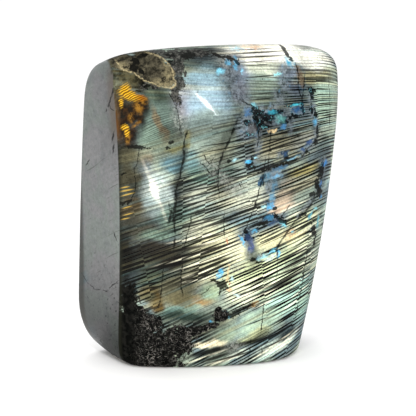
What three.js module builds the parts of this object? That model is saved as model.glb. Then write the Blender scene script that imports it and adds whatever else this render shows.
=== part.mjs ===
// A polished labradorite freeform: one stone, 140 mm tall, standing on a flat sawn base.
//
// Millimetres, +Z up, the domed show face towards -Y. The origin is on the base, under the
// middle of the stone's box.
//
// The stone is a rounded block. Each of its facets is a slightly bent plane, and the solid is
// the space inside all of them, with every pair of facets meeting in a rounded edge of its own.
// Its surface is a grid drawn on a box-like cage and pushed out from the middle until it
// reaches the facets.
import * as THREE from 'three';

// Each facet faces the compass direction `azimuth` (0 is the front, 90 the right side) tipped up
// by `elevation`, in degrees. It lies `reach` from the point `about`, and bends with the two
// radii `bulge`, across and upright. A negative radius is hollow.
const facets = {
  showFace: { azimuth: 0, elevation: -2.3, reach: 19.7, bulge: [100, 2000], about: [14, 0, 84] },
  brow: { azimuth: 0, elevation: 42, reach: 1.5, bulge: [1650, 1650], about: [0, -20, 130] },
  leftSide: { azimuth: -69, elevation: -1.3, reach: 43.5, bulge: [1650, -1100], about: [0, 0, 73] },
  heel: { azimuth: -120.5, elevation: -75.5, reach: 24.1, bulge: [230, 230], about: [-40, 10, 20] },
  shoulder: { azimuth: -84.5, elevation: 34, reach: 26.5, bulge: [180, 180], about: [-40, 0, 130] },
  rightSide: { azimuth: 77, elevation: -8.8, reach: 50.8, bulge: [700, 700], about: [0, 0, 65] },
  rightToe: { azimuth: 70, elevation: -45, reach: 17.1, bulge: [1000, 1000], about: [30, 0, 10] },
  back: { azimuth: 178, elevation: 6, reach: 29.8, bulge: [400, 500], about: [0, 0, 65] },
};

// The crown is a shallow cap: its height, the place of that height, its slopes and its two radii.
const crown = { height: 141.3, at: [15, 0], slope: [0.004, -0.07], bulge: [1650, 95] };

// How far the facets blend into each other along each edge: the front left edge is crisp.
const blend = { brow: 24, shoulder: 24, heel: 24, right: 19, back: 18, crown: 13.7, left: 2.4, toe: 3, base: 3 };

// The cage: the middle that the grid is pushed out from, its eight rough corners, and how far
// its front and back bow out between them, so that the grid's edges run along the stone's own.
const middle = [0, 6, 66];
const corners = {
  frontLeftLow: [-40, 0, 0],
  frontRightLow: [37, -12, 0],
  frontLeftHigh: [-50, 2, 135],
  frontRightHigh: [54, -5, 138],
  backLeftLow: [-42, 31, 0],
  backRightLow: [44, 27, 0],
  backLeftHigh: [-54, 16, 132],
  backRightHigh: [56, 9, 137],
};
const bow = { front: 7, back: 2.5 };

// Grid cells along X, Y and Z, how strongly they crowd towards the edges, and the farthest
// that any point of the surface can lie from the middle.
const cells = [24, 14, 30];
const crowding = 0.5;
const farthest = 120;
const halvings = 44;

const radians = THREE.MathUtils.degToRad;

function outward({ azimuth, elevation }) {
  const turn = radians(azimuth);
  const tip = radians(elevation);
  return new THREE.Vector3(Math.sin(turn) * Math.cos(tip), -Math.cos(turn) * Math.cos(tip), Math.sin(tip));
}

// The height of a point above a facet, negative inside the stone.
function aboveFacet(point, facet) {
  const normal = outward(facet);
  const across = new THREE.Vector3(-normal.y, normal.x, 0).normalize();
  const upright = new THREE.Vector3().crossVectors(normal, across);
  const offset = new THREE.Vector3().subVectors(point, new THREE.Vector3(...facet.about));
  const sag = offset.dot(across) ** 2 / facet.bulge[0] + offset.dot(upright) ** 2 / facet.bulge[1];
  return offset.dot(normal) - facet.reach + sag / 2;
}

function aboveCrown(point) {
  const x = point.x - crown.at[0];
  const y = point.y - crown.at[1];
  const sag = x ** 2 / crown.bulge[0] + y ** 2 / crown.bulge[1];
  return point.z - crown.height - crown.slope[0] * x - crown.slope[1] * y + sag / 2;
}

// Two facets meet in an edge that is rounded over the width `width`.
function meet(a, b, width) {
  const overlap = Math.max(width - Math.abs(a - b), 0) / width;
  return Math.max(a, b) + (overlap ** 2 * width) / 4;
}

// Negative inside the stone, zero on its surface.
function aboveStone(point) {
  const above = (name) => aboveFacet(point, facets[name]);
  const front = meet(above('showFace'), above('brow'), blend.brow);
  const top = meet(aboveCrown(point), above('shoulder'), blend.shoulder);
  const left = meet(above('leftSide'), above('heel'), blend.heel);
  let stone = meet(front, above('rightSide'), blend.right);
  stone = meet(stone, above('back'), blend.back);
  stone = meet(stone, top, blend.crown);
  stone = meet(stone, left, blend.left);
  stone = meet(stone, above('rightToe'), blend.toe);
  return meet(stone, -point.z, blend.base);
}

// A grid line's place between -1 and 1, closer together near both ends.
function gridPlace(index, count) {
  const even = (2 * index) / count - 1;
  return THREE.MathUtils.lerp(even, Math.sin((even * Math.PI) / 2), crowding);
}

// The cage's point at (x, y, z), each from -1 to 1, blended from the eight corners and bowed out.
function cagePoint(x, y, z) {
  const sum = new THREE.Vector3();
  for (const [name, corner] of Object.entries(corners)) {
    const weightX = name.includes('Right') ? 1 + x : 1 - x;
    const weightY = name.includes('back') ? 1 + y : 1 - y;
    const weightZ = name.includes('High') ? 1 + z : 1 - z;
    sum.addScaledVector(new THREE.Vector3(...corner), (weightX * weightY * weightZ) / 8);
  }
  sum.y += ((1 - x ** 2) * (bow.back * (1 + y) - bow.front * (1 - y))) / 2;
  return sum;
}

// Where the ray from the middle through a cage point leaves the stone.
function surfacePoint(cage) {
  const start = new THREE.Vector3(...middle);
  const direction = cage.clone().sub(start).normalize();
  let inside = 0;
  let outside = farthest;
  for (let i = 0; i < halvings; i += 1) {
    const half = (inside + outside) / 2;
    if (aboveStone(start.clone().addScaledVector(direction, half)) < 0) inside = half;
    else outside = half;
  }
  return start.addScaledVector(direction, (inside + outside) / 2);
}

// The closed surface: the six sides of the grid, which share the points on their edges.
function stoneGeometry() {
  const positions = [];
  const triangles = [];
  const known = new Map();

  function vertex(grid) {
    const key = grid.join();
    if (!known.has(key)) {
      const [x, y, z] = grid.map((index, axis) => gridPlace(index, cells[axis]));
      known.set(key, positions.length / 3);
      positions.push(...surfacePoint(cagePoint(x, y, z)).toArray());
    }
    return known.get(key);
  }

  for (let axis = 0; axis < 3; axis += 1) {
    const u = (axis + 1) % 3;
    const v = (axis + 2) % 3;
    for (const end of [0, cells[axis]]) {
      for (let i = 0; i < cells[u]; i += 1) {
        for (let j = 0; j < cells[v]; j += 1) {
          const quad = [[i, j], [i + 1, j], [i + 1, j + 1], [i, j + 1]].map(([alongU, alongV]) => {
            const grid = [];
            grid[axis] = end;
            grid[u] = alongU;
            grid[v] = alongV;
            return vertex(grid);
          });
          if (end === 0) quad.reverse();
          const [a, b, c, d] = quad;
          triangles.push(a, b, c, a, c, d);
        }
      }
    }
  }

  const geometry = new THREE.BufferGeometry();
  geometry.setAttribute('position', new THREE.Float32BufferAttribute(positions, 3));
  geometry.setIndex(triangles);
  return geometry;
}

// Puts the origin on the base, under the middle of the stone's box.
function centreOnBase(geometry) {
  geometry.computeBoundingBox();
  const { min, max } = geometry.boundingBox;
  return geometry.translate(-(min.x + max.x) / 2, -(min.y + max.y) / 2, -min.z);
}

function makeStone() {
  const geometry = centreOnBase(stoneGeometry());
  geometry.computeVertexNormals();
  const polished = new THREE.MeshStandardMaterial({ color: 0x66706a, roughness: 0.12, metalness: 0 });
  const stone = new THREE.Mesh(geometry, polished);
  stone.name = 'labradorite';
  return stone;
}

const model = new THREE.Group();
model.add(makeStone());

export default model;
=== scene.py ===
"""A polished labradorite freeform, 140 mm tall, on a pale floor in soft studio light."""
import math

import bpy
import numpy as np
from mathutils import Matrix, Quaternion, Vector


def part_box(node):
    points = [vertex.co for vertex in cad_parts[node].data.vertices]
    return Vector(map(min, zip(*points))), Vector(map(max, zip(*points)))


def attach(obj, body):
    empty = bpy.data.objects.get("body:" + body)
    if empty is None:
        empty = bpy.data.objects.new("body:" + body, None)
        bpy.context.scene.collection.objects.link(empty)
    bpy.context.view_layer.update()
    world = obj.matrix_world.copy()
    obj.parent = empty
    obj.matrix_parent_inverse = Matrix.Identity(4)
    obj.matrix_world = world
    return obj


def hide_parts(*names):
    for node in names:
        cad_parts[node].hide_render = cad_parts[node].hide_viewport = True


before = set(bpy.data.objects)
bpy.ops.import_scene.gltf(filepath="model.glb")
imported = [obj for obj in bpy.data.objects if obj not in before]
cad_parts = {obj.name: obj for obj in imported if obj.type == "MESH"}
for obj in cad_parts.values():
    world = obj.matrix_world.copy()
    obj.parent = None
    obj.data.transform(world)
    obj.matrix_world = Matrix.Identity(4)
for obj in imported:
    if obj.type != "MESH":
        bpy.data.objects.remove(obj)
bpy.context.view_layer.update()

NODE = "labradorite"
PIECE = "polished_labradorite"
MM = 0.001


# ----- The stone's shape -----
# The CAD part's facets again, on a finer grid. Millimetres.

# Each facet: the azimuth and elevation that it faces, its distance from a point, that point, and
# its two bend radii, across and upright. A negative radius is hollow.
FACETS = {
    "show_face": (0, -2.3, 19.7, (14, 0, 84), (100, 2000)),
    "brow": (0, 42, 1.5, (0, -20, 130), (1650, 1650)),
    "left_side": (-69, -1.3, 43.5, (0, 0, 73), (1650, -1100)),
    "heel": (-120.5, -75.5, 24.1, (-40, 10, 20), (230, 230)),
    "shoulder": (-84.5, 34, 26.5, (-40, 0, 130), (180, 180)),
    "right_side": (77, -8.8, 50.8, (0, 0, 65), (700, 700)),
    "right_toe": (70, -45, 17.1, (30, 0, 10), (1000, 1000)),
    "back": (178, 6, 29.8, (0, 0, 65), (400, 500)),
}
CROWN = {"height": 141.3, "at": (15, 0), "slope": (0.004, -0.07), "bulge": (1650, 95)}
BLEND = {"brow": 24, "shoulder": 24, "heel": 24, "right": 19, "back": 18, "crown": 13.7,
         "left": 2.4, "toe": 3, "base": 3}

# The cage that the grid is drawn on: low and high corners, front left, front right, back left,
# back right, and how far its front and back bow out between them.
MIDDLE = np.array((0, 6, 66))
LOW_CORNERS = np.array(((-40, 0, 0), (37, -12, 0), (-42, 31, 0), (44, 27, 0)))
HIGH_CORNERS = np.array(((-50, 2, 135), (54, -5, 138), (-54, 16, 132), (56, 9, 137)))
BOW_FRONT, BOW_BACK = 7, 2.5

# The grid's cells along x, y and z, and how much they crowd towards the ends.
CELLS = (140, 56, 190)
CROWDING = 0.35

# How far out the surface is searched for, and how often the search halves.
FARTHEST = 120
HALVINGS = 34


def outward(azimuth, elevation):
    turn, tip = math.radians(azimuth), math.radians(elevation)
    return np.array((math.sin(turn) * math.cos(tip), -math.cos(turn) * math.cos(tip), math.sin(tip)))


def above_facet(points, name):
    """The points' heights above a facet, negative inside the stone."""
    azimuth, elevation, reach, about, bulge = FACETS[name]
    normal = outward(azimuth, elevation)
    across = np.array((-normal[1], normal[0], 0)) / math.hypot(normal[0], normal[1])
    upright = np.cross(normal, across)
    offset = points - np.array(about)
    sag = (offset @ across) ** 2 / bulge[0] + (offset @ upright) ** 2 / bulge[1]
    return offset @ normal - reach + sag / 2


def above_crown(points):
    x = points[:, 0] - CROWN["at"][0]
    y = points[:, 1] - CROWN["at"][1]
    sag = x ** 2 / CROWN["bulge"][0] + y ** 2 / CROWN["bulge"][1]
    return points[:, 2] - CROWN["height"] - CROWN["slope"][0] * x - CROWN["slope"][1] * y + sag / 2


def meet(a, b, width):
    """Two facets meet in an edge rounded over the given width."""
    overlap = np.maximum(width - np.abs(a - b), 0) / width
    return np.maximum(a, b) + overlap ** 2 * width / 4


def above_stone(points):
    """Negative inside the stone, zero on its surface."""
    front = meet(above_facet(points, "show_face"), above_facet(points, "brow"), BLEND["brow"])
    top = meet(above_crown(points), above_facet(points, "shoulder"), BLEND["shoulder"])
    left = meet(above_facet(points, "left_side"), above_facet(points, "heel"), BLEND["heel"])
    stone = meet(front, above_facet(points, "right_side"), BLEND["right"])
    stone = meet(stone, above_facet(points, "back"), BLEND["back"])
    stone = meet(stone, top, BLEND["crown"])
    stone = meet(stone, left, BLEND["left"])
    stone = meet(stone, above_facet(points, "right_toe"), BLEND["toe"])
    return meet(stone, -points[:, 2], BLEND["base"])


def grid_place(index, count):
    """Grid lines' places between -1 and 1, closer together near both ends."""
    even = 2 * index / count - 1
    return (1 - CROWDING) * even + CROWDING * np.sin(even * math.pi / 2)


def cage_points(grid):
    x, y, z = (grid_place(grid[:, axis], CELLS[axis])[:, None] for axis in range(3))
    points = np.zeros((len(grid), 3))
    for corners, weight_z in ((LOW_CORNERS, 1 - z), (HIGH_CORNERS, 1 + z)):
        for corner, (side_x, side_y) in zip(corners, ((-1, -1), (1, -1), (-1, 1), (1, 1))):
            points += corner * (1 + side_x * x) * (1 + side_y * y) * weight_z / 8
    points[:, 1:2] += (1 - x ** 2) * (BOW_BACK * (1 + y) - BOW_FRONT * (1 - y)) / 2
    return points


def surface_points(cage):
    """Where rays from the middle through the cage's points leave the stone."""
    direction = cage - MIDDLE
    direction /= np.linalg.norm(direction, axis=1, keepdims=True)
    inside = np.zeros((len(cage), 1))
    outside = np.full((len(cage), 1), float(FARTHEST))
    for _ in range(HALVINGS):
        half = (inside + outside) / 2
        is_in = above_stone(MIDDLE + direction * half)[:, None] < 0
        inside = np.where(is_in, half, inside)
        outside = np.where(is_in, outside, half)
    return MIDDLE + direction * (inside + outside) / 2


def grid_quads():
    """The six sides of the grid, as quads of whole grid places (i, j, k) that face outwards."""
    sides = []
    for axis in range(3):
        u, v = (axis + 1) % 3, (axis + 2) % 3
        i, j = np.meshgrid(np.arange(CELLS[u]), np.arange(CELLS[v]), indexing="ij")
        for end in (0, CELLS[axis]):
            quad = np.zeros((i.size, 4, 3), int)
            quad[:, :, axis] = end
            for corner, (step_u, step_v) in enumerate(((0, 0), (1, 0), (1, 1), (0, 1))):
                quad[:, corner, u] = i.ravel() + step_u
                quad[:, corner, v] = j.ravel() + step_v
            sides.append(quad if end else quad[:, ::-1])
    return np.concatenate(sides)


def make_stone():
    """The stone as one closed mesh, standing where the CAD stone stands."""
    quads = grid_quads()
    grid, corner_of = np.unique(quads.reshape(-1, 3), axis=0, return_inverse=True)
    points = surface_points(cage_points(grid)) * MM
    low, high = points.min(0), points.max(0)
    cad_low, cad_high = (np.array(corner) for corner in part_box(NODE))
    points[:, :2] += ((cad_low + cad_high) / 2 - (low + high) / 2)[:2]
    points[:, 2] += cad_low[2] - low[2]
    mesh = bpy.data.meshes.new(PIECE)
    mesh.from_pydata(points.tolist(), [], corner_of.reshape(-1, 4).tolist())
    mesh.shade_smooth()
    return add_object(PIECE, mesh)


# ----- Camera, floor and light -----
# Metres.

CAMERA_AZIMUTH = -20
CAMERA_ELEVATION = 11
CAMERA_DISTANCE = 0.59
CAMERA_AIM = (-0.0051, -0.0046, 0.0688)
LENS = 116.1
SENSOR = 36

FLOOR_RADIUS = 25
FLOOR_SIDES = 64
FLOOR_COLOUR = (0.96, 0.96, 0.96, 1)
FLOOR_ROUGHNESS = 0.9

# How bright the world is in front of the stone and behind it, and where between them it changes.
WORLD_FRONT = 0.25
WORLD_BACK = 1.45
WORLD_CHANGE = (-0.6, 0.0)

# Lamps: place, the point it shines at, width, height, roll in degrees, watts, colour.
# Three make the long glint high on the face and its glow, and two the short one low on the left.
HIGH_LAMP = (-0.048, -0.609, 0.245)
BROW = (-0.013, -0.022, 0.118)
LOW_LAMP = (-0.138, -0.18, 0.03)
LOWER_LEFT = (-0.033, -0.015, 0.082)
WHITE = (1, 1, 1)
CREAM = (1, 0.9, 0.7)
LAMPS = {
    "brow_glint": (HIGH_LAMP, BROW, 0.009, 0.15, 30, 0.5, WHITE),
    "brow_middle": (HIGH_LAMP, BROW, 0.03, 0.08, 30, 0.8, WHITE),
    "brow_glow": (HIGH_LAMP, BROW, 0.05, 0.18, 30, 0.5, WHITE),
    "low_glint": (LOW_LAMP, LOWER_LEFT, 0.018, 0.009, -30, 0.09, CREAM),
    "low_glint_tail": (LOW_LAMP, LOWER_LEFT, 0.004, 0.064, 48, 0.05, CREAM),
    "key_softbox": ((-0.35, -0.75, 1.05), (0, 0, 0.07), 0.7, 0.5, 0, 4, WHITE),
}


def add_object(name, data):
    thing = bpy.data.objects.new(name, data)
    bpy.context.scene.collection.objects.link(thing)
    return thing


def aim(thing, target):
    thing.rotation_mode = "QUATERNION"
    thing.rotation_quaternion = (Vector(target) - thing.location).to_track_quat("-Z", "Y")


def make_camera():
    back = Vector(outward(CAMERA_AZIMUTH, CAMERA_ELEVATION))
    camera = add_object("camera", bpy.data.cameras.new("camera"))
    camera.data.lens = LENS
    camera.data.sensor_width = SENSOR
    camera.location = Vector(CAMERA_AIM) + back * CAMERA_DISTANCE
    aim(camera, CAMERA_AIM)
    bpy.context.scene.camera = camera


def make_floor():
    """A wide pale disc under the stone."""
    turns = [2 * math.pi * i / FLOOR_SIDES for i in range(FLOOR_SIDES)]
    rim = [(FLOOR_RADIUS * math.cos(turn), FLOOR_RADIUS * math.sin(turn), 0) for turn in turns]
    mesh = bpy.data.meshes.new("floor")
    mesh.from_pydata(rim, [], [range(FLOOR_SIDES)])
    material = bpy.data.materials.new("floor")
    material.use_nodes = True
    shader = material.node_tree.nodes["Principled BSDF"]
    shader.inputs["Base Color"].default_value = FLOOR_COLOUR
    shader.inputs["Roughness"].default_value = FLOOR_ROUGHNESS
    shader.inputs["Specular IOR Level"].default_value = 0.0
    mesh.materials.append(material)
    floor = add_object("floor", mesh)


def make_world():
    """White light, dimmer from the front."""
    world = bpy.data.worlds.new("studio")
    world.use_nodes = True
    nodes, links = world.node_tree.nodes, world.node_tree.links
    direction = nodes.new("ShaderNodeSeparateXYZ")
    links.new(nodes.new("ShaderNodeTexCoord").outputs["Generated"], direction.inputs[0])
    fade = nodes.new("ShaderNodeMapRange")
    fade.interpolation_type = "SMOOTHSTEP"
    fade.inputs["From Min"].default_value, fade.inputs["From Max"].default_value = WORLD_CHANGE
    fade.inputs["To Min"].default_value = WORLD_FRONT
    fade.inputs["To Max"].default_value = WORLD_BACK
    links.new(direction.outputs["Y"], fade.inputs["Value"])
    background = nodes["Background"]
    background.inputs["Color"].default_value = (1, 1, 1, 1)
    links.new(fade.outputs[0], background.inputs["Strength"])
    bpy.context.scene.world = world


def make_lamps():
    for name, (place, target, width, height, roll, watts, colour) in LAMPS.items():
        lamp = bpy.data.lights.new(name, "AREA")
        lamp.shape = "ELLIPSE"
        lamp.size = width
        lamp.size_y = height
        lamp.energy = watts
        lamp.color = colour
        holder = add_object(name, lamp)
        holder.location = place
        aim(holder, target)
        holder.rotation_quaternion @= Quaternion((0, 0, 1), math.radians(roll))
        holder.visible_camera = False


# ----- Node maths -----

# The node tree, or the group in it, that new nodes go in.
TREE = None

# Where a mix node has its amount and its two colours.
MIX_SOCKETS = (0, 6, 7)


def linear(part):
    return part / 12.92 if part < 0.04045 else ((part + 0.055) / 1.055) ** 2.4


def rgb(hex_code):
    """An sRGB hex code as a linear colour."""
    return (*(linear(int(hex_code[i:i + 2], 16) / 255) for i in (0, 2, 4)), 1)


def feed(socket, value):
    """Links a Flow to a socket, or sets a plain value or a hex colour on it."""
    if isinstance(value, Flow):
        TREE.links.new(value.socket, socket)
    else:
        socket.default_value = rgb(value) if isinstance(value, str) else value


def new_node(kind, **settings):
    node = TREE.nodes.new(kind)
    for name, value in settings.items():
        setattr(node, name, value)
    return node


def maths(operation, *values, kind="ShaderNodeMath"):
    node = new_node(kind, operation=operation)
    for socket, value in zip(node.inputs, values):
        feed(socket, value)
    return Flow(node.outputs[0])


def vector_maths(operation, *values):
    return maths(operation, *values, kind="ShaderNodeVectorMath")


class Flow:
    """A socket of the node tree that can be added to, multiplied and so on."""

    def __init__(self, socket):
        self.socket = socket


def arithmetic(operation):
    """A Flow's methods for one operation, with the Flow first and with it second."""
    return (lambda self, other: maths(operation, self, other),
            lambda self, other: maths(operation, other, self))


Flow.__add__, Flow.__radd__ = arithmetic("ADD")
Flow.__sub__, Flow.__rsub__ = arithmetic("SUBTRACT")
Flow.__mul__, Flow.__rmul__ = arithmetic("MULTIPLY")
Flow.__truediv__ = arithmetic("DIVIDE")[0]
Flow.__pow__ = arithmetic("POWER")[0]


def step(value, low, high):
    """0 below low and 1 above high, smooth between them. low may be the larger. Number or Flow."""
    if not isinstance(value, Flow):
        share = min(max((value - low) / (high - low), 0), 1)
        return share * share * (3 - 2 * share)
    node = new_node("ShaderNodeMapRange", interpolation_type="SMOOTHSTEP")
    for name, number in (("Value", value), ("From Min", low), ("From Max", high)):
        feed(node.inputs[name], number)
    return Flow(node.outputs[0])


def largest(*values):
    result = values[0]
    for value in values[1:]:
        result = maths("MAXIMUM", result, value)
    return result


def bundle(x, y, z):
    node = new_node("ShaderNodeCombineXYZ")
    for socket, value in zip(node.inputs, (x, y, z)):
        feed(socket, value)
    return Flow(node.outputs[0])


def split(vector):
    node = new_node("ShaderNodeSeparateXYZ")
    feed(node.inputs[0], vector)
    return [Flow(output) for output in node.outputs]


def noise(place, scale=1.0, detail=2.0, roughness=0.5, colour=False):
    """Smooth noise about 0.5. scale is in cycles per unit of place."""
    node = new_node("ShaderNodeTexNoise")
    feed(node.inputs["Vector"], place)
    for name, value in (("Scale", scale), ("Detail", detail), ("Roughness", roughness)):
        node.inputs[name].default_value = value
    return Flow(node.outputs["Color" if colour else "Fac"])


def mapped(place, kind="POINT", **settings):
    """The place moved, turned and scaled by a mapping node, for many textures to share."""
    node = new_node("ShaderNodeMapping", vector_type=kind)
    feed(node.inputs["Vector"], place)
    for name, value in settings.items():
        node.inputs[name].default_value = value
    return Flow(node.outputs[0])


def shaken(place, size, amount):
    """The place moved about by noise of the given size, up to about the given amount."""
    spread = (amount * 4,) * 3
    moved = vector_maths("MULTIPLY_ADD", noise(place, 1 / size, 2, colour=True), spread, place)
    return vector_maths("SUBTRACT", moved, (amount * 2,) * 3)


def mix(below, above, amount, blend="MIX"):
    """Lays the colour above over the colour below."""
    node = new_node("ShaderNodeMix", data_type="RGBA", blend_type=blend)
    for index, value in zip(MIX_SOCKETS, (amount, below, above)):
        feed(node.inputs[index], value)
    return Flow(node.outputs[2])


def times(tone, shade, amount=1.0):
    """Multiplies a colour by a shade."""
    return mix(tone, shade, amount, "MULTIPLY")


def grey(value):
    node = new_node("ShaderNodeCombineColor")
    for socket in node.inputs:
        feed(socket, value)
    return Flow(node.outputs[0])


SOCKETS = {"VECTOR": "NodeSocketVector", "RGBA": "NodeSocketColor", "VALUE": "NodeSocketFloat"}


def grouped(build):
    """Has a function of Flows build its nodes in a node group of its own."""
    def built(*flows):
        global TREE
        outer = TREE
        inner = bpy.data.node_groups.new(build.__name__, "ShaderNodeTree")
        for index, flow in enumerate(flows):
            kind = SOCKETS[flow.socket.type]
            inner.interface.new_socket(f"input {index}", in_out="INPUT", socket_type=kind)
        TREE = inner
        entry = new_node("NodeGroupInput")
        result = build(*(Flow(socket) for socket in entry.outputs[:len(flows)]))
        inner.interface.new_socket("result", in_out="OUTPUT", socket_type=SOCKETS[result.socket.type])
        feed(new_node("NodeGroupOutput").inputs[0], result)
        TREE = outer
        node = new_node("ShaderNodeGroup", node_tree=inner)
        for socket, flow in zip(node.inputs, flows):
            feed(socket, flow)
        return Flow(node.outputs[0])
    return built


# ----- Marks -----
# Each is a soft ellipse in the x-z plane of the place that it is given, 1 inside and 0 outside: its
# centre, half width and half height in millimetres, and its turn in degrees where it is tilted.

# A mark's half depth along y, so large that the mark goes right through the stone.
ANY_DEPTH = 1e4

# The half length of a stroke's ellipse as a share of the stroke: a little over half, to overlap.
OVERLAP = 0.56

# How far the grain tears a broken spot, how much larger it is drawn for that, and its edge.
TEARING = 1.3
TORN_SPREAD = 1.7
TORN_EDGE = (1.0, 1.15)


def cone(place, x, z, across, up, turn=0.0):
    """1 in the ellipse's middle, falling to 0 at its edge."""
    node = new_node("ShaderNodeTexGradient", gradient_type="SPHERICAL")
    feed(node.inputs["Vector"], place)
    node.texture_mapping.vector_type = "TEXTURE"
    node.texture_mapping.translation = (x, 0, z)
    node.texture_mapping.rotation = (0, -math.radians(turn), 0)
    node.texture_mapping.scale = (across, ANY_DEPTH, up)
    return Flow(node.outputs["Fac"])


def highest_cone(place, rows, spread):
    """The highest of the ellipses' cones, each ellipse drawn larger by the spread."""
    highest = 0.0
    for x, z, across, up, *turn in rows:
        highest = maths("MAXIMUM", cone(place, x, z, across * spread, up * spread, *turn), highest)
    return highest


def union(place, rows, soft):
    """1 inside any of the ellipses. soft is the width of the edge as a share of the ellipse."""
    return step(highest_cone(place, rows, 1 + soft), 0, 2 * soft / (1 + soft))


def spots(place, rows, soft=0.4):
    return union(mapped(place), rows, soft)


def broken(place, rows, grain):
    """Spots torn up by the grain, a noise about 0.5."""
    return step(highest_cone(mapped(place), rows, TORN_SPREAD) + grain * TEARING, *TORN_EDGE)


def points_of(line):
    return list(zip(line[::2], line[1::2]))


def strokes(line, width):
    """The ellipses of a broken line, tapering at each end."""
    points = points_of(line)
    rows = []
    for (x0, z0), (x1, z1) in zip(points, points[1:]):
        length = math.hypot(x1 - x0, z1 - z0)
        turn = math.degrees(math.atan2(z1 - z0, x1 - x0))
        rows.append(((x0 + x1) / 2, (z0 + z1) / 2, length * OVERLAP + width / 2, width, turn))
    return rows


def cracks(place, table, soft=0.6):
    """The lines of a table, each drawn with its half width."""
    rows = [row for width, lines in table.items() for line in lines for row in strokes(line, width)]
    return spots(place, rows, soft)


def paint(tone, place, rows, soft=0.5):
    """Spots of colour one over another. Each row is a hex code and the spot."""
    place = mapped(place)
    for colour, *row in rows:
        tone = mix(tone, colour, union(place, [row], soft))
    return tone


# ----- The bands -----
# Thin twin layers in the stone that fan out to the left and sink towards the back. Millimetres.

# From the stone's place to where its facets are drawn.
TO_FACETS = (0.63, 6.2, 0)

# How far a band sinks for each millimetre back, and how far it rises for each to the right where
# the bands slope. They are level above one height, and slope fully below another.
DIP = 0.41
SLOPE = 0.284
LEVEL_ABOVE = 124.5
SLOPING_BELOW = 99.5

# How much the slope grows for each millimetre down, from the height where it is as above, and how
# much the bands bow.
FAN = 0.0021
FAN_LEVEL = 70
BOW = 0.0017


def face_depth(x, z):
    """How far forward the show face stands at x and z, as its y."""
    near, far = -45.0, 0.0
    for _ in range(HALVINGS):
        half = (near + far) / 2
        if above_stone(np.array(((x, half, z),)) + TO_FACETS)[0] > 0:
            near = half
        else:
            far = half
    return far


def band_height(x, y, z):
    """The same all along one band. Numbers or Flows."""
    slope = step(z, LEVEL_ABOVE, SLOPING_BELOW) * SLOPE + (FAN_LEVEL - z) * FAN
    return z + y * DIP - x * slope - x * x * BOW


def streaks(bands, table):
    """Lines along the bands, from a table of lines between points of the show face."""
    drawn = {}
    for width, lines in table.items():
        drawn[width] = []
        for line in lines:
            ends = ((x, band_height(x, face_depth(x, z), z)) for x, z in points_of(line))
            drawn[width].append([number for end in ends for number in end])
    return cracks(bands, drawn)


# ----- What shows on the show face -----
# Places are x and z in millimetres. A spot is a centre, a half width, a half height and, where it
# is tilted, a turn in degrees. A line is given under its half width, as x and z of each point.

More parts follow.
